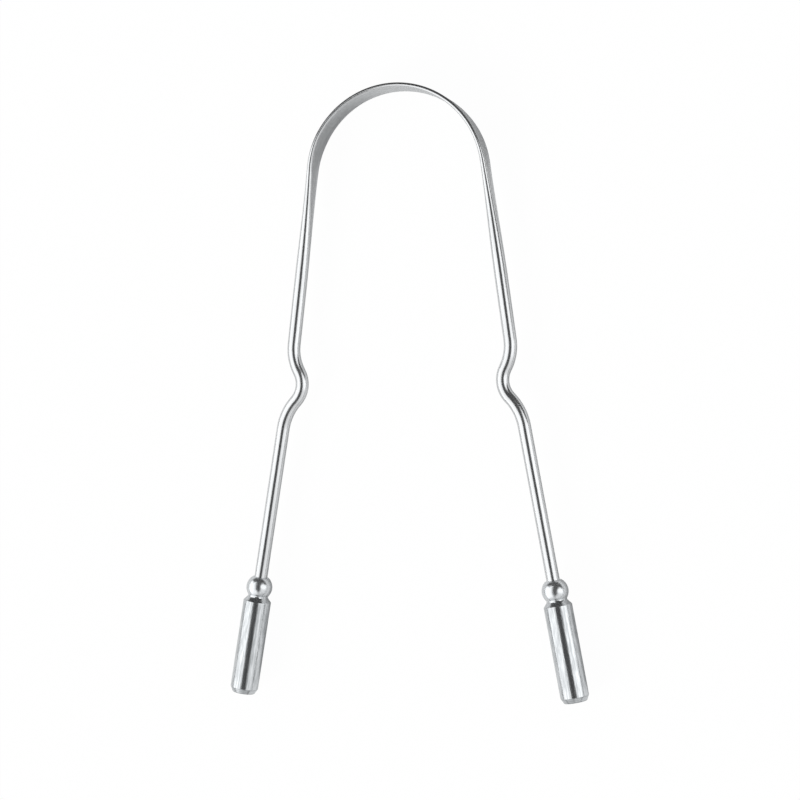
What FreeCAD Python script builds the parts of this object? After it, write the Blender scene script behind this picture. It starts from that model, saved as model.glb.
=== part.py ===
"""Tongue scraper: one bent steel wire whose arch is rolled flat, with a turned grip on each end.

Units are millimetres and degrees. The tool lies flat: +Z is up, +Y points from the grips to the
arch, +X to the right. The pieces are drawn about the centre of the arch, and then moved so that
the origin is the middle of the tool's footprint, on the table.
"""
import FreeCAD
import Part
import Sketcher
import math
import os

# Driving dimensions: name, value, meaning
SIZES = [
    ("wire_dia", 3.0, "round wire that the bow is bent from"),
    ("band_thickness", 0.95, "thickness of the wire where it is rolled flat"),
    ("arch_radius", 20.5, "radius of the arch, at the middle of the band"),
    ("arch_taper", 8.6, "length of arch, above each leg, over which the band narrows"),
    ("leg_taper", 27.0, "length of leg, below the arch, over which the band turns round"),
    ("flat_start", 8.0, "arc of the round wire from which each flat face of the band grows"),
    ("round_leg", 13.3, "round straight wire between the taper and the finger bend"),
    ("upper_splay", 7.3, "angle of each leg to the middle line, above the finger bend"),
    ("upper_bend_radius", 11.0, "finger bend: radius of the turn inwards"),
    ("inner_bend_radius", 5.8, "finger bend: radius at its innermost point"),
    ("lower_bend_radius", 12.3, "finger bend: radius of the turn back into the leg"),
    ("bend_in_angle", 27.5, "finger bend: steepest angle inwards"),
    ("bend_out_angle", 43.5, "finger bend: steepest angle outwards"),
    ("lower_splay", 9.9, "angle of each leg to the middle line, below the finger bend"),
    ("lower_leg", 34.9, "straight wire between the finger bend and the grip"),
    ("bond_gap", 0.02, "gap round the wire inside the grip, which the braze fills"),
    ("bore_depth", 12.0, "depth of the hole that takes the wire"),
    ("bore_end_gap", 0.5, "space left past the wire at the bottom of that hole"),
    ("drill_angle", 118.0, "point angle of the drill that made that hole"),
    ("mouth_rim", 0.3, "flat rim round the mouth of that hole"),
    ("neck_wall", 0.8, "wall round the wire at the neck of the grip"),
    ("ball_rise", 0.68, "height of the ball above the neck"),
    ("shoulder_rise", 0.88, "height of the barrel above the neck"),
    ("cove_radius", 0.9, "radius of the hollow between ball and barrel"),
    ("rim_break", 0.2, "broken edge round the top of the barrel"),
    ("barrel_length", 21.8, "barrel from its top edge to its end"),
    ("chamfer_depth", 0.6, "chamfer round the end of the barrel: how much it takes off the radius"),
    ("chamfer_length", 1.2, "the same chamfer: its length along the barrel"),
]
SHEET = "Sizes"

# How far each taper section lies along the arch's part of the taper, then along the leg's
TAPER_STATIONS = [(0.0, 0.0), (0.5, 0.0), (1.0, 0.0), (1.0, 0.2), (1.0, 0.45), (1.0, 0.7)]

# Sketcher counts a line's or an arc's points up from 1, and the sketch's own axes down from -1
START, END, CENTRE = range(1, 4)
H_AXIS, V_AXIS = range(-1, -3, -1)
ORIGIN = H_AXIS


def make_sheet(doc):
    """Puts the driving dimensions in a spreadsheet, one alias each, and returns them by name."""
    sheet = doc.addObject("Spreadsheet::Sheet", SHEET)
    for row, (name, value, meaning) in enumerate(SIZES, start=1):
        sheet.set(f"A{row}", name)
        sheet.set(f"B{row}", str(value))
        sheet.set(f"C{row}", meaning)
        sheet.setAlias(f"B{row}", name)
    doc.recompute()
    return {name: float(sheet.get(name)) for name, _, _ in SIZES}


def cell(name):
    """A sheet cell, as written in a formula."""
    return f"{SHEET}.{name}"


def polar(length, angle):
    """The vector of that length, at that angle in degrees from +X."""
    turn = math.radians(angle)
    return FreeCAD.Vector(length * math.cos(turn), length * math.sin(turn), 0)


def down(length, splay):
    """The vector of that length along a leg, which runs down and outwards by its splay."""
    return polar(length, splay - 90)


def arc(centre, start, end):
    """The circular arc that runs anticlockwise about a centre from one point to another."""
    circle = Part.Circle(centre, FreeCAD.Vector(0, 0, 1), (start - centre).Length)
    first = math.atan2(start.y - centre.y, start.x - centre.x)
    last = math.atan2(end.y - centre.y, end.x - centre.x)
    if last < first:
        last += 2 * math.pi
    return Part.ArcOfCircle(circle, first, last)


def origin_plane(body, role):
    """One of the body's own origin planes."""
    return next(item for item in body.Origin.OriginFeatures if item.Role == role)


def new_sketch(body, name, role):
    """An empty sketch on one of the body's own origin planes."""
    sketch = body.newObject("Sketcher::SketchObject", name)
    sketch.AttachmentSupport = [(origin_plane(body, role), "")]
    sketch.MapMode = "FlatFace"
    return sketch


def tie(sketch, *constraint):
    """Adds a constraint that has no dimension."""
    sketch.addConstraint(Sketcher.Constraint(*constraint))


def bind(sketch, name, formula, *constraint):
    """Adds a dimension, names it and ties it to a formula of sheet cells."""
    index = sketch.addConstraint(Sketcher.Constraint(*constraint))
    sketch.renameConstraint(index, name)
    sketch.setExpression(f"Constraints.{name}", formula)


class LegLine:
    """The points of the right leg's centre line, from the end of the arch to the end of the wire."""

    def __init__(self, size):
        upper, lower = size["upper_splay"], size["lower_splay"]
        inward, outward = size["bend_in_angle"], size["bend_out_angle"]
        self.arch_end = polar(size["arch_radius"], upper)
        self.taper_end = self.arch_end + down(size["leg_taper"], upper)
        self.bend_start = self.taper_end + down(size["round_leg"], upper)
        self.upper_centre = self.bend_start - polar(size["upper_bend_radius"], upper)
        self.turn_in = self.upper_centre + polar(size["upper_bend_radius"], -inward)
        self.inner_centre = self.turn_in + polar(size["inner_bend_radius"], -inward)
        self.turn_out = self.inner_centre - polar(size["inner_bend_radius"], outward)
        self.lower_centre = self.turn_out - polar(size["lower_bend_radius"], outward)
        self.bend_end = self.lower_centre + polar(size["lower_bend_radius"], lower)
        self.mouth = self.bend_end + down(size["lower_leg"], lower)
        self.wire_end = self.mouth + down(size["bore_depth"] - size["bore_end_gap"], lower)


def place_on_taper(sketch, size, on_arch, on_leg):
    """Turns a section sketch about the arch's centre, and moves it down the leg, to its station."""
    splay, radius = size["upper_splay"], size["arch_radius"]
    turn = 90 - splay - math.degrees((1 - on_arch) * size["arch_taper"] / radius)
    slide = down(on_leg * size["leg_taper"], splay)
    spin = FreeCAD.Rotation(FreeCAD.Vector(0, -1, 0), turn)
    sketch.AttachmentOffset = FreeCAD.Placement(FreeCAD.Vector(slide.y, 0, slide.x), spin)
    left = f"180 / pi * {1 - on_arch} * {cell('arch_taper')} / {cell('arch_radius')}"
    run = f"{on_leg} * {cell('leg_taper')}"
    sketch.setExpression("AttachmentOffset.Rotation.Angle", f"90 - {cell('upper_splay')} - {left}")
    sketch.setExpression("AttachmentOffset.Base.x", f"-({run}) * cos({cell('upper_splay')})")
    sketch.setExpression("AttachmentOffset.Base.z", f"{run} * sin({cell('upper_splay')})")


def rolled_section(body, size, name, on_arch, on_leg):
    """The wire's section, a slot shape, at one station of the taper.

    The thickness grows from the band to the round wire, gently at both ends: by 3 s^2 - 2 s^3 at the
    share s of the taper. The width follows from it, because rolling keeps the wire's area: each
    rounded edge lies pi (d^2 - t^2) / 8t from the middle.
    """
    wire, band, radius = size["wire_dia"], size["band_thickness"], size["arch_radius"]
    travelled = on_arch * size["arch_taper"] + on_leg * size["leg_taper"]
    part_way = travelled / (size["arch_taper"] + size["leg_taper"])
    thick = band + (wire - band) * part_way**2 * (3 - 2 * part_way)
    offset = math.pi * (wire**2 - thick**2) / (8 * thick)
    sketch = new_sketch(body, name, "YZ_Plane")
    middle, rise = FreeCAD.Vector(radius, 0, 0), FreeCAD.Vector(0, offset, 0)
    half = FreeCAD.Vector(thick / 2, 0, 0)
    outer = sketch.addGeometry(Part.LineSegment(middle + half - rise, middle + half + rise))
    top = sketch.addGeometry(arc(middle + rise, middle + half + rise, middle - half + rise))
    inner = sketch.addGeometry(Part.LineSegment(middle - half + rise, middle - half - rise))
    bottom = sketch.addGeometry(arc(middle - rise, middle - half - rise, middle + half - rise))
    ring = [outer, top, inner, bottom]
    for first, second in zip(ring, ring[1:] + ring[:1]):
        tie(sketch, "Tangent", first, END, second, START)
    tie(sketch, "Equal", top, bottom)
    tie(sketch, "Symmetric", top, CENTRE, bottom, CENTRE, H_AXIS)
    along = f"({on_arch} * {cell('arch_taper')} + {on_leg} * {cell('leg_taper')})"
    share = f"({along} / ({cell('arch_taper')} + {cell('leg_taper')}))"
    growth = f"({cell('wire_dia')} - {cell('band_thickness')}) * {share}^2 * (3 - 2 * {share})"
    thickness = f"({cell('band_thickness')} + {growth})"
    reach = f"pi * ({cell('wire_dia')}^2 - {thickness}^2) / (8 * {thickness})"
    bind(sketch, "middle", cell("arch_radius"), "DistanceX", ORIGIN, START, top, CENTRE, radius)
    bind(sketch, "edge_offset", reach, "DistanceY", ORIGIN, START, top, CENTRE, offset)
    bind(sketch, "edge_radius", f"{thickness} / 2", "Radius", top, thick / 2)
    place_on_taper(sketch, size, on_arch, on_leg)
    return sketch


def wire_section(body, size):
    """The round section of the wire, at the end of the taper."""
    sketch = new_sketch(body, "WireSection", "YZ_Plane")
    radius = size["wire_dia"] / 2
    middle = FreeCAD.Vector(size["arch_radius"], 0, 0)
    ring = sketch.addGeometry(Part.Circle(middle, FreeCAD.Vector(0, 0, 1), radius))
    tie(sketch, "PointOnObject", ring, CENTRE, H_AXIS)
    bind(sketch, "middle", cell("arch_radius"), "DistanceX", ORIGIN, START, ring, CENTRE, middle.x)
    bind(sketch, "wire_radius", f"{cell('wire_dia')} / 2", "Radius", ring, radius)
    place_on_taper(sketch, size, 1.0, 1.0)
    return sketch


def quartered_wire_section(body, size):
    """The same round section as four arcs, one for each side of the slots that it grows into."""
    sketch = new_sketch(body, "QuarteredSection", "YZ_Plane")
    radius, lead = size["wire_dia"] / 2, size["flat_start"] / 2
    middle = FreeCAD.Vector(size["arch_radius"], 0, 0)
    corners = [middle + polar(radius, angle) for angle in (-lead, lead, 180 - lead, 180 + lead)]
    ring = [
        sketch.addGeometry(arc(middle, first, second))
        for first, second in zip(corners, corners[1:] + corners[:1])
    ]
    outer, _, inner, bottom = ring
    tie(sketch, "PointOnObject", outer, CENTRE, H_AXIS)
    for first, second in zip(ring, ring[1:]):
        tie(sketch, "Coincident", first, CENTRE, second, CENTRE)
        tie(sketch, "Coincident", first, END, second, START)
    tie(sketch, "Horizontal", bottom, END, outer, START)
    for face, name in ((outer, "outer_flat"), (inner, "inner_flat")):
        tie(sketch, "Vertical", face, START, face, END)
        bind(sketch, name, cell("flat_start"), "Angle", face, math.radians(size["flat_start"]))
    bind(sketch, "middle", cell("arch_radius"), "DistanceX", ORIGIN, START, outer, CENTRE, middle.x)
    bind(sketch, "wire_radius", f"{cell('wire_dia')} / 2", "Radius", outer, radius)
    place_on_taper(sketch, size, 1.0, 1.0)
    return sketch


def leg_path(body, size, leg):
    """The centre line of the round wire: straight, three tangent arcs of the finger bend, straight."""
    sketch = new_sketch(body, "LegPath", "XY_Plane")
    spoke = sketch.addGeometry(Part.LineSegment(FreeCAD.Vector(), leg.arch_end), True)
    taper = sketch.addGeometry(Part.LineSegment(leg.arch_end, leg.taper_end), True)
    upper = sketch.addGeometry(Part.LineSegment(leg.taper_end, leg.bend_start))
    turn_in = sketch.addGeometry(arc(leg.upper_centre, leg.turn_in, leg.bend_start))
    inner = sketch.addGeometry(arc(leg.inner_centre, leg.turn_in, leg.turn_out))
    turn_out = sketch.addGeometry(arc(leg.lower_centre, leg.bend_end, leg.turn_out))
    lower = sketch.addGeometry(Part.LineSegment(leg.bend_end, leg.wire_end))
    tie(sketch, "Coincident", spoke, START, ORIGIN, START)
    tie(sketch, "Coincident", spoke, END, taper, START)
    tie(sketch, "Perpendicular", spoke, taper)
    tie(sketch, "Tangent", taper, END, upper, START)
    tie(sketch, "Tangent", upper, END, turn_in, END)
    tie(sketch, "Tangent", turn_in, START, inner, START)
    tie(sketch, "Tangent", inner, END, turn_out, END)
    tie(sketch, "Tangent", turn_out, START, lower, START)
    splay, inward = cell("upper_splay"), cell("bend_in_angle")
    outward, lower_splay = cell("bend_out_angle"), cell("lower_splay")
    entry = f"{cell('lower_leg')} + {cell('bore_depth')} - {cell('bore_end_gap')}"
    upper_turn = math.radians(size["upper_splay"])
    bind(sketch, "arch_radius", cell("arch_radius"), "Distance", spoke, leg.arch_end.Length)
    bind(sketch, "upper_splay", splay, "Angle", H_AXIS, START, spoke, START, upper_turn)
    bind(sketch, "leg_taper", cell("leg_taper"), "Distance", taper, size["leg_taper"])
    bind(sketch, "round_leg", cell("round_leg"), "Distance", upper, size["round_leg"])
    bind(sketch, "upper_bend", cell("upper_bend_radius"), "Radius", turn_in, size["upper_bend_radius"])
    bind(sketch, "inner_bend", cell("inner_bend_radius"), "Radius", inner, size["inner_bend_radius"])
    bind(sketch, "lower_bend", cell("lower_bend_radius"), "Radius", turn_out, size["lower_bend_radius"])
    sweep_in = size["upper_splay"] + size["bend_in_angle"]
    sweep_inner = size["bend_in_angle"] + size["bend_out_angle"]
    sweep_out = size["bend_out_angle"] - size["lower_splay"]
    bind(sketch, "turn_in", f"{splay} + {inward}", "Angle", turn_in, math.radians(sweep_in))
    bind(sketch, "turn_through", f"{inward} + {outward}", "Angle", inner, math.radians(sweep_inner))
    bind(sketch, "turn_out", f"{outward} - {lower_splay}", "Angle", turn_out, math.radians(sweep_out))
    bind(sketch, "lower_run", entry, "Distance", lower, (leg.wire_end - leg.bend_end).Length)
    return sketch


def make_bow(doc, size, leg):
    """The bent wire: the rolled arch, the taper and round leg of one side, and their mirror image."""
    body = doc.addObject("PartDesign::Body", "Bow")
    body.Label = "scraper_bow"
    sections = [
        rolled_section(body, size, f"TaperSection{number}", on_arch, on_leg)
        for number, (on_arch, on_leg) in enumerate(TAPER_STATIONS)
    ]
    sections.append(quartered_wire_section(body, size))
    wire = wire_section(body, size)
    path = leg_path(body, size, leg)

    crown_section = rolled_section(body, size, "CrownSection", 0.0, 0.0)
    crown = body.newObject("PartDesign::Revolution", "Crown")
    crown.Profile = crown_section
    crown.ReferenceAxis = (crown_section, ["V_Axis"])
    half = f"90 - {cell('upper_splay')} - 180 / pi * {cell('arch_taper')} / {cell('arch_radius')}"
    crown.setExpression("Angle", f"2 * ({half})")

    taper = body.newObject("PartDesign::AdditiveLoft", "Taper")
    taper.Profile = sections[0]
    taper.Sections = sections[1:]

    round_leg = body.newObject("PartDesign::AdditivePipe", "RoundLeg")
    round_leg.Profile = wire
    round_leg.Spine = (path, [])

    other_side = body.newObject("PartDesign::Mirrored", "OtherLeg")
    other_side.Originals = [taper, round_leg]
    other_side.MirrorPlane = (origin_plane(body, "YZ_Plane"), [""])
    body.Tip = other_side
    doc.recompute()
    return body


class GripProfile:
    """The points of half a grip's outline: X is the radius, -Y the depth below the mouth."""

    def __init__(self, size):
        bore = size["wire_dia"] / 2 + size["bond_gap"]
        neck = bore + size["neck_wall"]
        ball, cove = neck + size["ball_rise"], size["cove_radius"]
        barrel = neck + size["shoulder_rise"]
        self.mouth = FreeCAD.Vector(bore + size["mouth_rim"], 0, 0)
        self.ball_centre = FreeCAD.Vector(0, -math.sqrt(ball**2 - self.mouth.x**2), 0)
        drop = math.sqrt((ball + cove) ** 2 - (neck + cove) ** 2)
        self.cove_centre = self.ball_centre + FreeCAD.Vector(neck + cove, -drop, 0)
        toward = (self.cove_centre - self.ball_centre).normalize()
        self.cove_start = self.ball_centre + toward * ball
        rim = barrel - size["rim_break"]
        fall = math.sqrt(cove**2 - (self.cove_centre.x - rim) ** 2)
        self.rim = FreeCAD.Vector(rim, self.cove_centre.y - fall, 0)
        self.barrel_top = self.rim + FreeCAD.Vector(size["rim_break"], -size["rim_break"], 0)
        end = self.rim.y - size["barrel_length"]
        self.barrel_foot = FreeCAD.Vector(barrel, end + size["chamfer_length"], 0)
        self.end_edge = FreeCAD.Vector(barrel - size["chamfer_depth"], end, 0)
        self.end = FreeCAD.Vector(0, end, 0)


def grip_sketch(body, size):
    """Half of the grip's outline, to be turned about the wire's axis."""
    form = GripProfile(size)
    sketch = new_sketch(body, "Outline", "XY_Plane")
    mouth = sketch.addGeometry(Part.LineSegment(FreeCAD.Vector(), form.mouth))
    ball = sketch.addGeometry(arc(form.ball_centre, form.cove_start, form.mouth))
    cove = sketch.addGeometry(arc(form.cove_centre, form.cove_start, form.rim))
    rim = sketch.addGeometry(Part.LineSegment(form.rim, form.barrel_top))
    side = sketch.addGeometry(Part.LineSegment(form.barrel_top, form.barrel_foot))
    chamfer = sketch.addGeometry(Part.LineSegment(form.barrel_foot, form.end_edge))
    face = sketch.addGeometry(Part.LineSegment(form.end_edge, form.end))
    axis = sketch.addGeometry(Part.LineSegment(form.end, FreeCAD.Vector()))
    tie(sketch, "Coincident", mouth, START, ORIGIN, START)
    tie(sketch, "Coincident", mouth, END, ball, END)
    tie(sketch, "Tangent", ball, START, cove, START)
    tie(sketch, "Coincident", cove, END, rim, START)
    chain = [rim, side, chamfer, face, axis, mouth]
    for first, second in zip(chain, chain[1:]):
        tie(sketch, "Coincident", first, END, second, START)
    tie(sketch, "Horizontal", mouth)
    tie(sketch, "Vertical", side)
    tie(sketch, "Horizontal", face)
    tie(sketch, "Vertical", axis)
    tie(sketch, "PointOnObject", ball, CENTRE, V_AXIS)
    bore = f"{cell('wire_dia')} / 2 + {cell('bond_gap')}"
    neck = f"{bore} + {cell('neck_wall')}"
    barrel = f"{neck} + {cell('shoulder_rise')}"
    ball_radius = (form.mouth - form.ball_centre).Length
    across = ("DistanceX", ORIGIN, START)
    bind(sketch, "mouth_radius", f"{bore} + {cell('mouth_rim')}", *across, mouth, END, form.mouth.x)
    bind(sketch, "ball_radius", f"{neck} + {cell('ball_rise')}", "Radius", ball, ball_radius)
    bind(sketch, "cove_radius", cell("cove_radius"), "Radius", cove, size["cove_radius"])
    bind(sketch, "cove_reach", f"{neck} + {cell('cove_radius')}", *across, cove, CENTRE, form.cove_centre.x)
    bind(sketch, "barrel_radius", barrel, *across, side, START, form.barrel_top.x)
    for name, run, first, second in (
        ("rim_break", "DistanceX", (rim, START), (rim, END)),
        ("rim_break", "DistanceY", (rim, END), (rim, START)),
        ("chamfer_depth", "DistanceX", (chamfer, END), (chamfer, START)),
        ("chamfer_length", "DistanceY", (chamfer, END), (chamfer, START)),
        ("barrel_length", "DistanceY", (face, START), (rim, START)),
    ):
        bind(sketch, f"{name}_{run[-1]}", cell(name), run, *first, *second, size[name])
    return sketch


def make_grip(doc, size, leg, label, side):
    """One turned grip, drilled for the wire and set on the end of its leg."""
    body = doc.addObject("PartDesign::Body", "Grip")
    body.Label = label
    outline = grip_sketch(body, size)
    turned = body.newObject("PartDesign::Revolution", "Turned")
    turned.Profile = outline
    turned.ReferenceAxis = (outline, ["V_Axis"])
    turned.Angle = 360

    mark = new_sketch(body, "BoreMark", "XZ_Plane")
    radius = size["wire_dia"] / 2 + size["bond_gap"]
    ring = mark.addGeometry(Part.Circle(FreeCAD.Vector(), FreeCAD.Vector(0, 0, 1), radius))
    tie(mark, "Coincident", ring, CENTRE, ORIGIN, START)
    bind(mark, "bore_radius", f"{cell('wire_dia')} / 2 + {cell('bond_gap')}", "Radius", ring, radius)
    doc.recompute()
    bore = body.newObject("PartDesign::Hole", "Bore")
    bore.Profile = mark
    bore.ThreadType = "None"
    bore.DepthType = "Dimension"
    bore.DrillPoint = "Angled"
    bore.Reversed = True
    bore.setExpression("Diameter", f"{cell('wire_dia')} + 2 * {cell('bond_gap')}")
    bore.setExpression("Depth", cell("bore_depth"))
    bore.setExpression("DrillPointAngle", cell("drill_angle"))
    body.Tip = bore
    spin = FreeCAD.Rotation(FreeCAD.Vector(0, 0, 1), side * size["lower_splay"])
    body.Placement = FreeCAD.Placement(FreeCAD.Vector(side * leg.mouth.x, leg.mouth.y, 0), spin)
    doc.recompute()
    return body


def settle_on_table(bodies):
    """Moves the pieces together, so that the origin is the middle of the footprint, on the table."""
    box = FreeCAD.BoundBox()
    for body in bodies:
        box.add(body.Shape.optimalBoundingBox(False))
    shift = FreeCAD.Vector(-box.Center.x, -box.Center.y, -box.ZMin)
    for body in bodies:
        body.Placement = FreeCAD.Placement(shift, FreeCAD.Rotation()) * body.Placement


def export_pieces(doc, bodies):
    """Writes one file for each piece, once every object of the document has come out sound."""
    broken = [item.Name for item in doc.Objects if {"Invalid", "Error"} & set(item.State)]
    if broken:
        raise RuntimeError(f"not built: {broken}")
    os.makedirs("parts", exist_ok=True)
    for body in bodies:
        shape = body.Shape
        if shape.isNull() or not shape.isValid() or len(shape.Solids) != 1:
            raise RuntimeError(f"{body.Label} isn't one sound solid")
        shape.exportStep(f"parts/{body.Label}.step")


def main():
    doc = FreeCAD.newDocument("tongue_scraper")
    size = make_sheet(doc)
    leg = LegLine(size)
    bodies = [
        make_bow(doc, size, leg),
        make_grip(doc, size, leg, "left_grip", -1),
        make_grip(doc, size, leg, "right_grip", 1),
    ]
    settle_on_table(bodies)
    doc.recompute()
    export_pieces(doc, bodies)
    for body in bodies:
        print(body.Label, "volume", round(body.Shape.Volume, 2), "mm3")


main()
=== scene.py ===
"""Looks of the tongue scraper: the rolled wire bow, its two turned grips, and the pale table.

Lengths are millimetres where nothing else is said, and metres in the meshes. The tool lies flat on
the table, with +Z up and +Y from the grips to the arch.
"""

import math

import bpy
import numpy as np
from mathutils import Matrix, Vector


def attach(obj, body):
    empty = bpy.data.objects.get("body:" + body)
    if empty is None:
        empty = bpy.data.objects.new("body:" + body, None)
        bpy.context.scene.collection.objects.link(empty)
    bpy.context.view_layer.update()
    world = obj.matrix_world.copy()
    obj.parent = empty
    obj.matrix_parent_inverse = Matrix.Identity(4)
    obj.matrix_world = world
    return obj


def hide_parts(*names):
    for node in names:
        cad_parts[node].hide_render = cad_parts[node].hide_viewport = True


MM = 0.001

# The wire and its bends, in millimetres and degrees
WIRE_DIAMETER = 3.0
BAND_THICKNESS = 0.95
ARCH_RADIUS = 20.5
ARCH_CENTRE = (0.0, 48.7862, 3.8222)
ARCH_TAPER = 8.6
LEG_TAPER = 27.0
ROUND_LEG = 13.3
UPPER_SPLAY = 7.3
ARCH_SWEEP = 90.0 - UPPER_SPLAY
BEND_RADII = (11.0, 5.8, 12.3)
BEND_IN = 27.5
BEND_OUT = 43.5
LOWER_SPLAY = 9.9
LOWER_LEG = 34.9
WIRE_IN_GRIP = 11.5

# The turned grip: radii, and depths below its mouth, in millimetres and degrees
BORE_RADIUS = 1.52
BORE_DEPTH = 12.0
DRILL_POINT = 59.0
MOUTH_RADIUS = 1.82
NECK_RADIUS = 2.32
BALL_RADIUS = 3.0
GROOVE_RADIUS = 0.5
BARREL_RADIUS = 3.2
BARREL_TOP = 5.6579
GRIP_END = 27.2579
CHAMFER_DEPTH = 0.6
CHAMFER_LENGTH = 1.2
BUFFED_DEPTH = 4.4

# Rounding of the grip's edges, in millimetres
BORE_ROUND = 0.08
MOUTH_ROUND = 0.1
TOP_ROUND = 0.16
CHAMFER_ROUND = 0.22

# Grids of the skins: rows along half of the wire, columns round it and round a grip
BOW_ROWS = 360
BOW_COLUMNS = 64
GRIP_COLUMNS = 96

# Points along each stretch of a grip's outline, and round each of its soft corners
CONE_POINTS = 4
BORE_POINTS = 6
BALL_POINTS = 40
GROOVE_POINTS = 16
SHOULDER_POINTS = 6
BARREL_POINTS = 30
END_POINTS = 14
CORNER_POINTS = 7

# Degrees of arc left free: on the ball at its mouth, and in the groove where it meets the ball
MOUTH_FREE = 3.0
GROOVE_FREE = 6.0

# Radius of the small caps that close a grip's skin on its axis
CAP_RADIUS = 0.05

# Where the band's flat face starts and is full, as the cosine of the normal's angle
FLAT_EDGES = (0.93, 0.995)

# Steel colours, each from its brightest to its most worn
WIRE_COLOURS = ((0.641, 0.652, 0.661, 1.0), (0.482, 0.491, 0.498, 1.0))
BAND_COLOURS = ((0.696, 0.71, 0.72, 1.0), (0.486, 0.5, 0.51, 1.0))
GRIP_COLOURS = ((0.656, 0.677, 0.692, 1.0), (0.41, 0.428, 0.441, 1.0))

# Marks in the steel: how many to a millimetre along the grain, across it, and in height
WIRE_STREAKS = (0.08, 2.2, 2.2)
WIRE_LINES = (0.2, 11.0, 11.0)
WIRE_PATCHES = (0.15, 0.5, 0.5)
GRIP_STREAKS = (0.2, 1.6, 1.6)
GRIP_LINES = (0.35, 3.2, 3.2)
GRIP_SCRATCHES = (0.16, 3.8, 3.8)
GRIP_RINGS = (2.6, 0.05, 0.05)

# Detail and roughness of the noise behind plain marks and behind fine ones
PLAIN_NOISE = (2.0, 0.5)
FINE_NOISE = (3.0, 0.6)

# Roughness of the wire: its own, and what its lines, its patches and its rolled faces add
WIRE_ROUGHNESS = 0.13
WIRE_LINES_ROUGHEN = 0.075
WIRE_PATCHES_ROUGHEN = 0.075
ROLLING_ROUGHENS = 0.18

# Roughness of a grip: its own, and what its lines, streaks and rings and its buffed ball add
GRIP_ROUGHNESS = 0.10
GRIP_LINES_ROUGHEN = 0.09
GRIP_STREAKS_ROUGHEN = 0.08
RINGS_ROUGHEN = 0.03
BUFFING_ROUGHENS = 0.06

# Wear by each kind of mark: its share, and the strengths of the mark that it comes in over
WIRE_STREAK_WEAR = (0.35, 0.35, 0.7)
WIRE_LINE_WEAR = (0.25, 0.4, 0.7)
BAND_STREAK_WEAR = (0.5, 0.35, 0.65)
GRIP_STREAK_WEAR = (0.5, 0.4, 0.62)
GRIP_LINE_WEAR = (0.35, 0.42, 0.62)
GRIP_SCRATCH_WEAR = (0.65, 0.55, 0.64)
END_RING_WEAR = (0.8, 0.42, 0.58)

# Wear of the band by its lines, an even darkening all over a grip's end, and the marks that buffing takes
# off the ball
BAND_LINE_WEAR = 0.5
END_DARKENING = 0.2
BUFFED_AWAY = 0.7

# Depth of the marks, in metres
WIRE_RELIEF = 0.000008
GRIP_RELIEF = 0.000026

# Shares of that depth
WIRE_STREAK_DEPTH = 0.7
WIRE_LINE_DEPTH = 0.3
GRIP_STREAK_DEPTH = 0.55
GRIP_LINE_DEPTH = 0.4
RING_DEPTH = 0.05
END_RING_DEPTH = 0.35

# The camera: where it looks from, as turns of the tool in front of it, and its lens
VIEW_DISTANCE = 420.0
VIEW_TURNS = (-15.608, -0.121, 0.834)
VIEW_SHIFT = (0.285, 1.868, -3.822)
PIXEL_SIZE = 0.2273
IMAGE_WIDTH = 800
SENSOR_WIDTH = 36.0
CLIP_METRES = (0.01, 20.0)

# The table: half its width, its drop below the tool, its grey, and its shares of even white
TABLE_HALF = 300.0
TABLE_DROP = 0.02
TABLE_GREY = 0.54
WHITE_TO_CAMERA = 0.98
WHITE_TO_STEEL = 0.12

# The tent: its level, and how much brighter its sides and dimmer its near end are
TENT_LEVEL = 1.48
SIDE_GAIN = 0.17
SIDE_EDGES = (0.35, 0.75)
NEAR_LOSS = 0.5
NEAR_EDGES = (-0.7, -0.92)

# The tent's dark slot: its lean, soft edges and fading near end in degrees, and how dark it is
SLOT_LEAN = 8.0
SLOT_EDGES = (25.5, 18.5)
SLOT_END = (-80.0, -22.0)
SLOT_LOSS = 0.94

# Its course, in degrees: how much it flares towards the arch and tapers at its near end, and where
SLOT_FLARE = 10.0
FLARE_TILTS = (12.0, 35.0)
SLOT_TAPER = 8.0
TAPER_TILTS = (-16.0, -30.0)

# The tent's dim corner: its bearing and soft edges in degrees, its fading heights, and how dim it is
CORNER_BEARING = -40.0
CORNER_EDGES = (28.0, 20.0)
CORNER_HEIGHTS = (0.95, 0.85)
CORNER_LOSS = 0.35

# The gap below the tent's foot: the heights that it fades over, and how dark it is
FOOT_HEIGHTS = (0.10, 0.05)
FOOT_LOSS = 0.9

# The black flag beyond the arch: its two ends, how far off its foot and its top are, its height and grey
FLAG_ENDS = (-150.0, 400.0)
FLAG_FOOT = 74.0
FLAG_TOP = 93.0
FLAG_HEIGHT = 126.0
FLAG_GREY = 0.04

# The soft lamp at the near left: its bearing, height and width in degrees, and its strength
LAMP_BEARING = 222.0
LAMP_HEIGHT = 27.0
LAMP_WIDTH = 24.0
LAMP_STRENGTH = 5.0


class Value:
    """A socket of a node tree. Sums written with it add Math nodes."""

    def __init__(self, tree, socket):
        self.tree = tree
        self.socket = socket

    def math(self, operation, *others):
        inputs = dict(enumerate((self, *others)))
        return self.tree.node("ShaderNodeMath", {"operation": operation}, inputs)

    def __add__(self, other):
        return self.math("ADD", other)

    def __mul__(self, other):
        return self.math("MULTIPLY", other)

    def __sub__(self, other):
        return self.math("SUBTRACT", other)

    def __rsub__(self, other):
        return self.tree.node("ShaderNodeMath", {"operation": "SUBTRACT"}, {0: other, 1: self})

    __radd__ = __add__
    __rmul__ = __mul__

    def rises(self, low, high):
        """0 up to low, 1 past high, and a smooth step between them; the other way round if high < low."""
        limits = {"Value": self, "From Min": low, "From Max": high}
        return self.tree.node("ShaderNodeMapRange", {"interpolation_type": "SMOOTHSTEP"}, limits)

    def wears(self, share, low, high):
        """The wear that a mark gives: up to its share, as the mark rises from low to high."""
        return share * self.rises(low, high)


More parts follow.
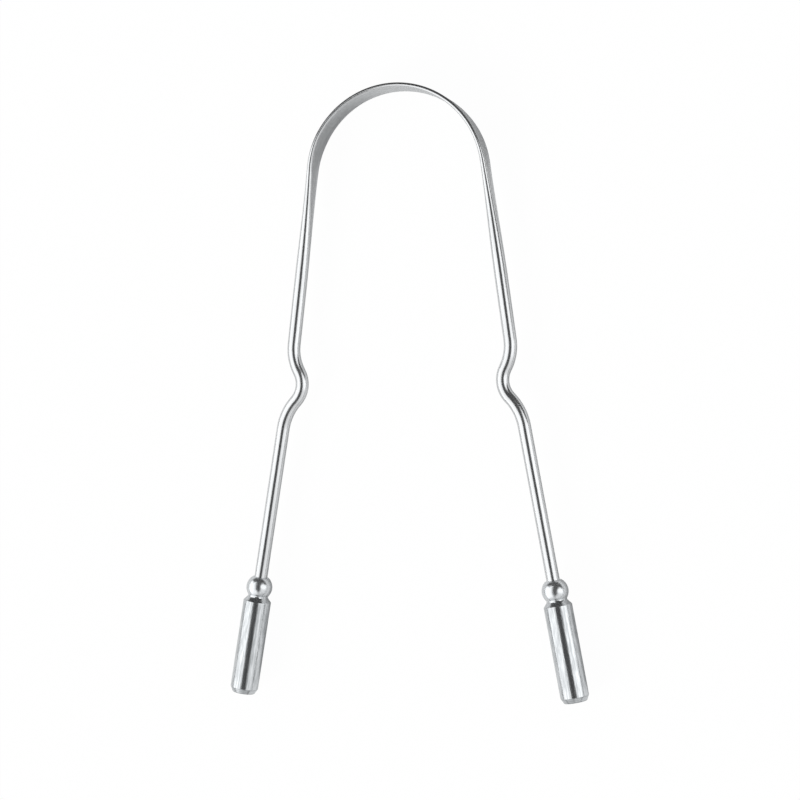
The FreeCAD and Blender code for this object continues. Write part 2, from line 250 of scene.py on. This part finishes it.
class Tree:
    """A node tree that is filled by one method, whatever the node."""

    def __init__(self, node_tree):
        self.nodes = node_tree.nodes
        self.links = node_tree.links
        self.nodes.clear()

    def node(self, kind, settings=None, inputs=None, output=0):
        made = self.nodes.new(kind)
        for name, setting in (settings or {}).items():
            setattr(made, name, setting)
        for name, value in (inputs or {}).items():
            if isinstance(value, Value):
                self.links.new(value.socket, made.inputs[name])
            else:
                made.inputs[name].default_value = value
        return Value(self, made.outputs[output] if made.outputs else None)

    def attribute(self, name, output):
        """An attribute of the mesh."""
        return self.node("ShaderNodeAttribute", {"attribute_name": name}, {}, output)

    def ray(self, kind):
        """1 for rays of one kind, and 0 for the others."""
        return self.node("ShaderNodeLightPath", {}, {}, f"Is {kind} Ray")

    def marks(self, grain, spacing, noise=PLAIN_NOISE):
        """Random marks from 0 to 1: a noise at the place in the grain times the marks to a millimetre."""
        detail, roughness = noise
        place = self.node("ShaderNodeVectorMath", {"operation": "MULTIPLY"}, {0: grain, 1: spacing})
        inputs = {"Vector": place, "Scale": 1.0, "Detail": detail, "Roughness": roughness}
        return self.node("ShaderNodeTexNoise", {}, inputs)

    def blend(self, share, first, second):
        """A colour from first to second, as the share goes from 0 to 1."""
        return self.node("ShaderNodeMix", {"data_type": "RGBA"}, {0: share, 6: first, 7: second}, 2)


def heading_along_wire():
    """Distances from the crown at which the bends begin and end, and the heading at each.

    The heading is the angle from straight down towards the outside: 90 degrees at the crown. It
    changes evenly along each bend, so every bend is a circular arc.
    """
    headings = [90.0, UPPER_SPLAY, UPPER_SPLAY, -BEND_IN, BEND_OUT, LOWER_SPLAY, LOWER_SPLAY]
    upper, inner, lower = BEND_RADII
    runs = [
        ARCH_RADIUS * math.radians(ARCH_SWEEP),
        LEG_TAPER + ROUND_LEG,
        upper * math.radians(UPPER_SPLAY + BEND_IN),
        inner * math.radians(BEND_IN + BEND_OUT),
        lower * math.radians(BEND_OUT - LOWER_SPLAY),
        LOWER_LEG + WIRE_IN_GRIP,
    ]
    return np.concatenate([[0.0], np.cumsum(runs)]), np.radians(headings)


def wire_line():
    """The centre line of the whole wire, from the end in the left grip to the end in the right one.

    On each side it is the running sum of (sin h, -cos h) over the length, h being the heading; the
    left side is the mirror image. Returns the length from the crown, the points, and the direction
    that points out of the bow.
    """
    stops, headings = heading_along_wire()
    half = np.linspace(0.0, stops[-1], BOW_ROWS)
    step = half[1]
    middle = np.interp(half[:-1] + step / 2, stops, headings)
    across = np.concatenate([[0.0], np.cumsum(np.sin(middle)) * step])
    along = ARCH_RADIUS - np.concatenate([[0.0], np.cumsum(np.cos(middle)) * step])
    heading = np.interp(half, stops, headings)
    length = np.concatenate([-half[:0:-1], half])
    side = np.where(length < 0, -1.0, 1.0)
    x = np.concatenate([-across[:0:-1], across])
    y = np.concatenate([along[:0:-1], along])
    turn = np.concatenate([heading[:0:-1], heading])
    outward = np.stack([side * np.cos(turn), np.sin(turn)], 1)
    return length, np.stack([x, y], 1) + ARCH_CENTRE[:2], outward


def wire_thickness(length):
    """Thickness of the wire at a length from the crown: the band's, then the round wire's.

    It grows by 3 s^2 - 2 s^3 at the share s of the taper, so it starts and ends gently.
    """
    arch = ARCH_RADIUS * math.radians(ARCH_SWEEP)
    share = np.clip((np.abs(length) - arch + ARCH_TAPER) / (ARCH_TAPER + LEG_TAPER), 0.0, 1.0)
    return BAND_THICKNESS + (WIRE_DIAMETER - BAND_THICKNESS) * share**2 * (3 - 2 * share)


def skin(name, points, patterns):
    """A closed mesh over a grid of points, rows along and columns round, capped at both ends.

    Points are in millimetres. Each pattern is a name and an array over the grid, which becomes an
    attribute of the mesh: one number or three to a point.
    """
    rows, columns = points.shape[:2]
    row = np.arange(rows - 1)[:, None] * columns
    column = np.arange(columns)[None, :]
    after = (column + 1) % columns
    quads = np.stack([row + column, row + after, row + columns + after, row + columns + column], -1)
    first = list(range(columns))[::-1]
    last = list(range((rows - 1) * columns, rows * columns))
    corners = (points.reshape(-1, 3) * MM).tolist()
    mesh = bpy.data.meshes.new(name)
    mesh.from_pydata(corners, [], quads.reshape(-1, 4).tolist() + [first, last])
    for pattern, numbers in patterns.items():
        vector = numbers.ndim == 3
        attribute = mesh.attributes.new(pattern, "FLOAT_VECTOR" if vector else "FLOAT", "POINT")
        attribute.data.foreach_set("vector" if vector else "value", numbers.astype(np.float32).ravel())
    mesh.shade_smooth()
    piece = bpy.data.objects.new(name, mesh)
    bpy.context.scene.collection.objects.link(piece)
    return piece


def make_bow():
    """The bent wire: its section carried along the centre line.

    The section is a slot shape, written by the angle q of its outside normal: t/2 cos q across the
    band, and t/2 sin q plus or minus e in height. Rolling keeps the wire's area, so e is
    pi (d^2 - t^2) / 8t, which is 0 where the wire is round. Columns start half a step past q = 0,
    so that none falls where the two halves of the slot part. The flat faces are marked as rolled.
    """
    length, line, outward = wire_line()
    thick = wire_thickness(length)
    reach = math.pi * (WIRE_DIAMETER**2 - thick**2) / (8 * thick)
    normal = (np.arange(BOW_COLUMNS) + 0.5) * 2 * math.pi / BOW_COLUMNS
    across = thick[:, None] / 2 * np.cos(normal)
    height = thick[:, None] / 2 * np.sin(normal) + reach[:, None] * np.sign(np.sin(normal))
    plan = line[:, None, :] + across[:, :, None] * outward[:, None, :]
    points = np.concatenate([plan, height[:, :, None] + ARCH_CENTRE[2]], 2)
    grain = np.stack([np.broadcast_to(length[:, None], across.shape), across, height], 2)
    rolled = (WIRE_DIAMETER - thick) / (WIRE_DIAMETER - BAND_THICKNESS)
    start, full = FLAT_EDGES
    face = np.clip((np.abs(np.cos(normal)) - start) / (full - start), 0.0, 1.0)
    return skin("rolled_bow", points, {"grain": grain, "rolled_face": rolled[:, None] * face})


def arc_points(centre, radius, start, end, count):
    """Points of a circular arc in (depth, radius), angles in degrees from +depth towards +radius."""
    angle = np.radians(np.linspace(start, end, count))
    return np.stack([centre[0] + radius * np.cos(angle), centre[1] + radius * np.sin(angle)], 1)


def run_points(start, end, count, skipped=(0, 0)):
    """Points of a straight run, closer together near both of its ends.

    The skipped numbers of points are left out at its start and its end, where rounded corners are.
    """
    share = (1 - np.cos(np.linspace(0.0, math.pi, count))) / 2
    share = share[skipped[0]:count - skipped[1]]
    return np.asarray(start) + share[:, None] * (np.asarray(end) - np.asarray(start))


def soft_corner(before, corner, after, radius):
    """A rounded corner: the arc of that radius that touches both of the straight runs.

    Its points step evenly through the turn: each is a blend of the two end radii by sines.
    """
    before, corner, after = (np.asarray(point, float) for point in (before, corner, after))
    back = (before - corner) / np.linalg.norm(before - corner)
    ahead = (after - corner) / np.linalg.norm(after - corner)
    half = math.acos(float(back @ ahead)) / 2
    bisector = (back + ahead) / np.linalg.norm(back + ahead)
    centre = corner + bisector * radius / math.sin(half)
    start = corner + back * radius / math.tan(half) - centre
    end = corner + ahead * radius / math.tan(half) - centre
    share = np.linspace(0.0, 1.0, CORNER_POINTS)[:, None]
    turn = math.pi - 2 * half
    return centre + (start * np.sin((1 - share) * turn) + end * np.sin(share * turn)) / math.sin(turn)


def drilled_hole():
    """The hole for the wire, from the drill's point to the mouth: a cone, then a straight wall."""
    slope = math.tan(math.radians(DRILL_POINT))
    point = (BORE_DEPTH + (BORE_RADIUS - CAP_RADIUS) / slope, CAP_RADIUS)
    corner, mouth = (BORE_DEPTH, BORE_RADIUS), (0.0, BORE_RADIUS)
    return [
        run_points(point, corner, CONE_POINTS),
        run_points(corner, mouth, BORE_POINTS, (1, 1)),
        soft_corner(corner, mouth, (0.0, MOUTH_RADIUS), BORE_ROUND),
    ]


def ball_and_shoulder():
    """The ball, an arc about a point on the axis; a groove that touches it; and a conical shoulder.

    The shoulder is the straight line from the barrel's top edge that touches the groove's arc.
    """
    ball_depth = math.sqrt(BALL_RADIUS**2 - MOUTH_RADIUS**2)
    level = NECK_RADIUS + GROOVE_RADIUS
    drop = math.sqrt((BALL_RADIUS + GROOVE_RADIUS) ** 2 - level**2)
    groove = np.array([ball_depth + drop, level])
    touch = math.degrees(math.atan2(level, drop))
    meets_ball = touch - 180.0
    mouth_angle = math.degrees(math.atan2(MOUTH_RADIUS, -ball_depth))
    top = np.array([BARREL_TOP, BARREL_RADIUS])
    away = top - groove
    lean = math.atan2(away[1], away[0]) - math.acos(GROOVE_RADIUS / float(np.hypot(*away)))
    foot = groove + GROOVE_RADIUS * np.array([math.cos(lean), math.sin(lean)])
    tangent = (MOUTH_RADIUS, MOUTH_RADIUS + ball_depth)
    return [
        soft_corner((0.0, BORE_RADIUS), (0.0, MOUTH_RADIUS), tangent, MOUTH_ROUND),
        arc_points((ball_depth, 0.0), BALL_RADIUS, mouth_angle - MOUTH_FREE, touch, BALL_POINTS),
        arc_points(groove, GROOVE_RADIUS, meets_ball + GROOVE_FREE, math.degrees(lean), GROOVE_POINTS),
        run_points(foot, top, SHOULDER_POINTS, (1, 1)),
        soft_corner(foot, top, (GRIP_END, BARREL_RADIUS), TOP_ROUND),
    ]


def barrel_and_end():
    """The barrel, a straight run; its chamfer, a steeper one; and the end face, square to the axis."""
    top, foot = (BARREL_TOP, BARREL_RADIUS), (GRIP_END - CHAMFER_LENGTH, BARREL_RADIUS)
    edge, centre = (GRIP_END, BARREL_RADIUS - CHAMFER_DEPTH), (GRIP_END, CAP_RADIUS)
    return [
        run_points(top, foot, BARREL_POINTS, (2, 2)),
        soft_corner(top, foot, edge, CHAMFER_ROUND),
        soft_corner(foot, edge, centre, CHAMFER_ROUND),
        run_points(edge, centre, END_POINTS, (3, 0)),
    ]


def make_grip(name, side):
    """One grip: its outline turned round the leg's axis, and set with its mouth on the wire.

    A point at depth d and radius r goes to mouth + d axis + r (cos q sideways - sin q up). The
    chamfer and the end are marked as faced on the lathe, and the ball as buffed.
    """
    depth, radius = np.concatenate(drilled_hole() + ball_and_shoulder() + barrel_and_end()).T
    length, line, _ = wire_line()
    stops, _ = heading_along_wire()
    mouth_length = stops[-1] - WIRE_IN_GRIP
    across_mouth, along_mouth = (np.interp(mouth_length, length, line[:, part]) for part in (0, 1))
    mouth = np.array([side * across_mouth, along_mouth, ARCH_CENTRE[2]])
    splay = math.radians(LOWER_SPLAY)
    axis = np.array([side * math.sin(splay), -math.cos(splay), 0.0])
    sideways = np.array([math.cos(splay), side * math.sin(splay), 0.0])
    up = np.array([0.0, 0.0, 1.0])
    turn = np.arange(GRIP_COLUMNS) * 2 * math.pi / GRIP_COLUMNS
    spoke = np.cos(turn)[:, None] * sideways - np.sin(turn)[:, None] * up
    points = mouth + depth[:, None, None] * axis + radius[:, None, None] * spoke
    across, height = radius[:, None] * np.cos(turn), radius[:, None] * np.sin(turn)
    run = np.concatenate([[0.0], np.cumsum(np.hypot(np.diff(depth), np.diff(radius)))])
    grain = np.stack([np.broadcast_to(run[:, None], across.shape), across, height], 2)
    zones = {"faced_end": depth > GRIP_END - CHAMFER_LENGTH, "buffed_ball": depth < BUFFED_DEPTH}
    patterns = {zone: np.broadcast_to(rows[:, None], across.shape) for zone, rows in zones.items()}
    return skin(name, points, {"grain": grain, **patterns})


def grey(level):
    """An opaque grey of that level."""
    return (level, level, level, 1.0)


def new_material(name):
    """An empty material and its node tree."""
    material = bpy.data.materials.new(name)
    material.use_nodes = True
    return material, Tree(material.node_tree)


def finish_steel(tree, colour, roughness, relief, depth):
    """Ends a steel finish in its shader, with the relief of its marks as a bump."""
    bump = tree.node("ShaderNodeBump", {}, {"Strength": 1.0, "Distance": depth, "Height": relief})
    inputs = {"Base Color": colour, "Metallic": 1.0, "Roughness": roughness, "Normal": bump}
    shader = tree.node("ShaderNodeBsdfPrincipled", {}, inputs)
    tree.node("ShaderNodeOutputMaterial", {}, {"Surface": shader})


def drawn_wire_finish():
    """Drawn and polished wire: fine lines along it, and a satin surface where the rollers pressed it."""
    material, tree = new_material("drawn_wire_steel")
    grain = tree.attribute("grain", "Vector")
    rolled = tree.attribute("rolled_face", "Fac")
    streaks = tree.marks(grain, WIRE_STREAKS)
    lines = tree.marks(grain, WIRE_LINES, FINE_NOISE)
    patches = tree.marks(grain, WIRE_PATCHES)
    roughness = WIRE_ROUGHNESS + WIRE_LINES_ROUGHEN * lines + WIRE_PATCHES_ROUGHEN * patches
    roughness = roughness + ROLLING_ROUGHENS * rolled
    worn = streaks.wears(*WIRE_STREAK_WEAR) + lines.wears(*WIRE_LINE_WEAR)
    rubbed = BAND_LINE_WEAR * lines + streaks.wears(*BAND_STREAK_WEAR)
    polished = tree.blend(worn, *WIRE_COLOURS)
    satin = tree.blend(rubbed, *BAND_COLOURS)
    colour = tree.blend(rolled, polished, satin)
    relief = WIRE_STREAK_DEPTH * streaks + WIRE_LINE_DEPTH * lines
    finish_steel(tree, colour, roughness, relief, WIRE_RELIEF)
    return material


def turned_grip_finish():
    """Turned steel: polishing streaks along the barrel, turning rings on its end, and a buffed ball."""
    material, tree = new_material("turned_grip_steel")
    grain = tree.attribute("grain", "Vector")
    faced = tree.attribute("faced_end", "Fac")
    buffed = tree.attribute("buffed_ball", "Fac")
    polished = 1.0 - faced - BUFFED_AWAY * buffed
    streaks = tree.marks(grain, GRIP_STREAKS, FINE_NOISE)
    lines = tree.marks(grain, GRIP_LINES, FINE_NOISE)
    scratches = tree.marks(grain, GRIP_SCRATCHES)
    rings = tree.marks(grain, GRIP_RINGS)
    roughness = GRIP_ROUGHNESS + GRIP_LINES_ROUGHEN * lines + GRIP_STREAKS_ROUGHEN * streaks
    roughness = roughness + RINGS_ROUGHEN * rings + BUFFING_ROUGHENS * buffed
    worn = streaks.wears(*GRIP_STREAK_WEAR) + lines.wears(*GRIP_LINE_WEAR)
    worn = worn + scratches.wears(*GRIP_SCRATCH_WEAR)
    # The faced end is made darker all over, and more so along its turning rings
    worn = worn * polished + faced * (END_DARKENING + rings.wears(*END_RING_WEAR))
    colour = tree.blend(worn, *GRIP_COLOURS)
    relief = (GRIP_STREAK_DEPTH * streaks + GRIP_LINE_DEPTH * lines) * polished
    relief = relief + rings * (RING_DEPTH + END_RING_DEPTH * faced)
    finish_steel(tree, colour, roughness, relief, GRIP_RELIEF)
    return material


def stage_sheet(name, corners, material):
    """A flat sheet of the studio, from its four corners in millimetres."""
    mesh = bpy.data.meshes.new(name)
    mesh.from_pydata((np.array(corners) * MM).tolist(), [], [(0, 1, 2, 3)])
    mesh.materials.append(material)
    sheet = bpy.data.objects.new(name, mesh)
    bpy.context.scene.collection.objects.link(sheet)
    return sheet


def make_table():
    """The pale table: matt, nearly even white to the camera, and partly so to reflections."""
    material, tree = new_material("pale_table")
    material.cycles.emission_sampling = "NONE"
    reflected = tree.ray("Glossy").math("MAXIMUM", tree.ray("Transmission"))
    evened = (WHITE_TO_STEEL * reflected).math("MAXIMUM", WHITE_TO_CAMERA * tree.ray("Camera"))
    matt = tree.node("ShaderNodeBsdfDiffuse", {}, {"Color": grey(TABLE_GREY)})
    white = tree.node("ShaderNodeEmission", {}, {"Color": grey(1.0), "Strength": 1.0})
    shown = tree.node("ShaderNodeMixShader", {}, {0: evened, 1: matt, 2: white})
    tree.node("ShaderNodeOutputMaterial", {}, {"Surface": shown})
    half, level = TABLE_HALF, -TABLE_DROP
    corners = [(-half, -half, level), (half, -half, level), (half, half, level), (-half, half, level)]
    stage_sheet("table", corners, material)


def make_tent():
    """Soft light from a white tent, a little brighter at its sides.

    The tent has a dark slot where the camera looks in, which widens towards the arch and narrows and
    fades at the near end. The near end is dimmer, and so is the near corner on the right. A dark gap
    is left between the tent's foot and the table.
    """
    world = bpy.data.worlds.new("tent")
    world.use_nodes = True
    bpy.context.scene.world = world
    tree = Tree(world.node_tree)
    direction = tree.node("ShaderNodeTexCoord", {}, {}, "Generated")
    x, y, z = (tree.node("ShaderNodeSeparateXYZ", {}, {0: direction}, part) for part in "XYZ")
    lean, tilt, bearing = x.math("ARCTAN2", z), y.math("ARCSINE"), y.math("ARCTAN2", x)
    flare = math.radians(SLOT_FLARE) * tilt.rises(*np.radians(FLARE_TILTS))
    taper = math.radians(SLOT_TAPER) * tilt.rises(*np.radians(TAPER_TILTS))
    off_slot = (lean - math.radians(SLOT_LEAN) - flare).math("ABSOLUTE") - flare + taper
    slot = off_slot.rises(*np.radians(SLOT_EDGES)) * tilt.rises(*np.radians(SLOT_END))
    off_corner = (bearing - math.radians(CORNER_BEARING)).math("ABSOLUTE")
    corner = off_corner.rises(*np.radians(CORNER_EDGES)) * z.rises(*CORNER_HEIGHTS)
    level = TENT_LEVEL + SIDE_GAIN * x.math("ABSOLUTE").rises(*SIDE_EDGES)
    level = level * (1.0 - NEAR_LOSS * y.rises(*NEAR_EDGES)) * (1.0 - CORNER_LOSS * corner)
    level = level * (1.0 - SLOT_LOSS * slot) * (1.0 - FOOT_LOSS * z.rises(*FOOT_HEIGHTS))
    cloth = tree.node("ShaderNodeBackground", {}, {"Color": grey(1.0), "Strength": level})
    white = tree.node("ShaderNodeBackground", {}, {"Color": grey(1.0), "Strength": 1.0})
    shown = tree.node("ShaderNodeMixShader", {}, {0: tree.ray("Camera"), 1: cloth, 2: white})
    tree.node("ShaderNodeOutputWorld", {}, {"Surface": shown})


def make_flag():
    """A black flag that stands beyond the arch, where only the steel shows it."""
    material, tree = new_material("black_flag")
    cloth = tree.node("ShaderNodeBsdfDiffuse", {}, {"Color": grey(FLAG_GREY)})
    tree.node("ShaderNodeOutputMaterial", {}, {"Surface": cloth})
    left, right = FLAG_ENDS
    foot = [(left, FLAG_FOOT, 0.0), (right, FLAG_FOOT, 0.0)]
    top = [(right, FLAG_TOP, FLAG_HEIGHT), (left, FLAG_TOP, FLAG_HEIGHT)]
    flag = stage_sheet("flag", foot + top, material)
    flag.visible_camera = False
    flag.visible_diffuse = False
    flag.visible_shadow = False


def make_lamp():
    """A soft lamp at the near left, which shades the table beyond each bar.

    The steel doesn't show it.
    """
    data = bpy.data.lights.new("left_lamp", "SUN")
    data.energy = LAMP_STRENGTH
    data.angle = math.radians(LAMP_WIDTH)
    lamp = bpy.data.objects.new("left_lamp", data)
    bearing, rise = math.radians(LAMP_BEARING), math.radians(LAMP_HEIGHT)
    level = math.cos(rise)
    source = Vector((level * math.cos(bearing), level * math.sin(bearing), math.sin(rise)))
    lamp.rotation_euler = source.to_track_quat("Z", "Y").to_euler()
    lamp.visible_glossy = False
    bpy.context.scene.collection.objects.link(lamp)


def make_camera():
    """The camera: the tool is turned in front of it, so it stands at the opposite turn."""
    yaw, pitch, roll = (math.radians(turn) for turn in VIEW_TURNS)
    turned = Matrix.Rotation(roll, 3, "Z") @ Matrix.Rotation(pitch, 3, "X")
    turned = turned @ Matrix.Rotation(yaw, 3, "Y")
    back = turned.transposed()
    place = (back @ Vector((0.0, 0.0, VIEW_DISTANCE)) - Vector(VIEW_SHIFT)) * MM
    data = bpy.data.cameras.new("camera")
    data.sensor_width = SENSOR_WIDTH
    data.lens = VIEW_DISTANCE / PIXEL_SIZE * SENSOR_WIDTH / IMAGE_WIDTH
    data.clip_start, data.clip_end = CLIP_METRES
    camera = bpy.data.objects.new("camera", data)
    camera.matrix_world = Matrix.Translation(place) @ back.to_4x4()
    bpy.context.scene.collection.objects.link(camera)
    bpy.context.scene.camera = camera


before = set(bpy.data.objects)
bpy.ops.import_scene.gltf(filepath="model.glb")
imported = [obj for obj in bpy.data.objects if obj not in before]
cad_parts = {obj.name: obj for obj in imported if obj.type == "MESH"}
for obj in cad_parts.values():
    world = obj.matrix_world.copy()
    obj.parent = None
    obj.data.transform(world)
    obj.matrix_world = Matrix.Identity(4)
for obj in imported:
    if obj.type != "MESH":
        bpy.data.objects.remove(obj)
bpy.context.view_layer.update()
bpy.context.scene.view_settings.view_transform = "Standard"
make_camera()

bow = make_bow()
bow.data.materials.append(drawn_wire_finish())
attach(bow, "root")
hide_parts("scraper_bow")

grip_steel = turned_grip_finish()
grips = (("left_turned_grip", "left_grip", -1), ("right_turned_grip", "right_grip", 1))
for name, node, side in grips:
    grip = make_grip(name, side)
    grip.data.materials.append(grip_steel)
    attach(grip, "root")
    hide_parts(node)

make_table()
make_tent()
make_flag()
make_lamp()
